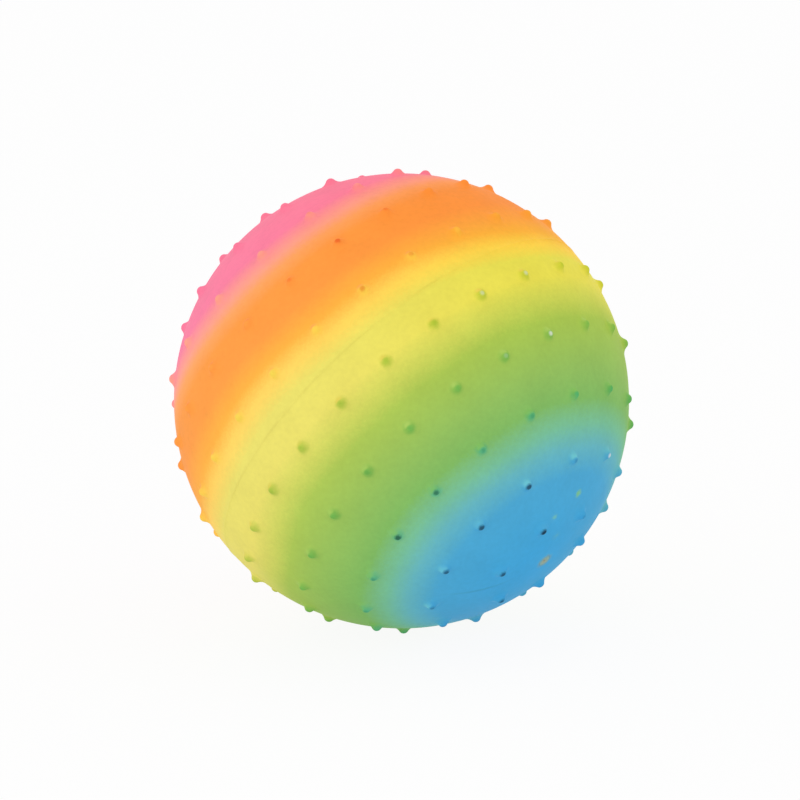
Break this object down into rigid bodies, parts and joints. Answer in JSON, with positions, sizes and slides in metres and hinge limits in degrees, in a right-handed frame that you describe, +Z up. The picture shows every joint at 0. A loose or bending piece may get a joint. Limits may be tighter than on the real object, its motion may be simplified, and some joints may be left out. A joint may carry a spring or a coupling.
{
  "type": "sensory ball",
  "caption": "Inflatable soft vinyl sensory ball covered in small round-tipped knobs, sprayed in soft rainbow bands, with a rubber needle valve at one pole.",
  "frame": {"origin": "on the floor, straight below the ball's centre, with the ball standing on three of its knobs", "axes": "+Z up; -Y towards the viewer of the picture; the valve's pole points down to the right and forward, towards +X, -Y and -Z"},
  "size_m": [0.1837, 0.1835, 0.1821],
  "materials": {
    "sprayed_vinyl": "soft matt vinyl, sprayed in pink, orange, yellow, green and blue bands that fade into each other",
    "plain_vinyl": "unpainted soft vinyl, matt",
    "gum_rubber": "tan gum rubber, matt"
  },
  "bodies": {
    "ball": {"skin": "sprayed_vinyl", "valve_sleeve": "plain_vinyl"},
    "bung": {"valve_bung": "gum_rubber"}
  },
  "joints": [
    {"name": "bung_pull", "type": "slide", "parent": "ball", "child": "bung", "axis": [0.6288, -0.5184, -0.5796], "range_m": [0, 0.014]}
  ]
}
